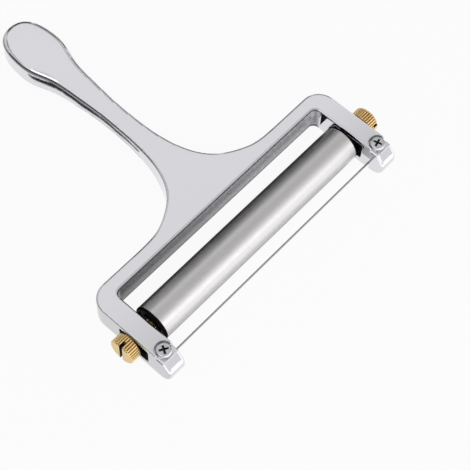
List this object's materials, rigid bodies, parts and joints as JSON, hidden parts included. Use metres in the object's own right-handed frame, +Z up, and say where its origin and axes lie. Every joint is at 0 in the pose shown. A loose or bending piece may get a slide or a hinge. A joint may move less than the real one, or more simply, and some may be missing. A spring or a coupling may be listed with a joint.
{
  "type": "cheese slicer",
  "caption": "Hand-held wire cheese slicer: a plated fork with a paddle handle, an adjustable free-turning roller between its arms and a taut cutting wire across its tips.",
  "frame": {"origin": "under the middle of the whole slicer, level with the feet under the arm tips", "axes": "+X along the roller to the slicer's right, +Y from the wire to the end of the handle, +Z up through the flat top of the fork"},
  "size_m": [0.156, 0.168, 0.019],
  "materials": {
    "plated_casting": "bright plated",
    "black_plastic": "matt",
    "satin_steel": "satin",
    "cap_plastic": "satin",
    "axle_steel": "drawn",
    "knurled_brass": "turned and knurled",
    "wire_steel": "drawn",
    "ferrule_brass": "turned",
    "screw_steel": "bright plated"
  },
  "bodies": {
    "frame": {"frame": "plated_casting", "slot_liner_left": "black_plastic", "slot_liner_right": "black_plastic", "cutting_wire": "wire_steel", "wire_ferrule_left": "ferrule_brass", "wire_ferrule_right": "ferrule_brass"},
    "carriage": {"roller_axle": "axle_steel"},
    "roller": {"roller_tube": "satin_steel", "roller_cap_left": "cap_plastic", "roller_cap_right": "cap_plastic"},
    "thumb_screw_left": {"thumb_screw_left": "knurled_brass"},
    "thumb_screw_right": {"thumb_screw_right": "knurled_brass"},
    "tension_screw_left": {"tension_screw_left": "screw_steel"},
    "tension_screw_right": {"tension_screw_right": "screw_steel"}
  },
  "joints": [
    {"name": "carriage_slide", "type": "slide", "parent": "frame", "child": "carriage", "axis": [0, 1, 0], "range_m": [-0.0055, 0.0028]},
    {"name": "roller_spin", "type": "hinge", "parent": "carriage", "child": "roller", "pos_m": [0, -0.0625, 0.0088], "axis": [1, 0, 0], "continuous": true},
    {"name": "thumb_screw_left_turn", "type": "hinge", "parent": "carriage", "child": "thumb_screw_left", "pos_m": [-0.072, -0.0625, 0.0088], "axis": [1, 0, 0], "continuous": true},
    {"name": "thumb_screw_right_turn", "type": "hinge", "parent": "carriage", "child": "thumb_screw_right", "pos_m": [0.072, -0.0625, 0.0088], "axis": [1, 0, 0], "continuous": true},
    {"name": "tension_screw_left_turn", "type": "hinge", "parent": "frame", "child": "tension_screw_left", "pos_m": [-0.0672, -0.0762, 0.0135], "axis": [0, 0, 1], "continuous": true},
    {"name": "tension_screw_right_turn", "type": "hinge", "parent": "frame", "child": "tension_screw_right", "pos_m": [0.0672, -0.0762, 0.0135], "axis": [0, 0, 1], "continuous": true}
  ]
}
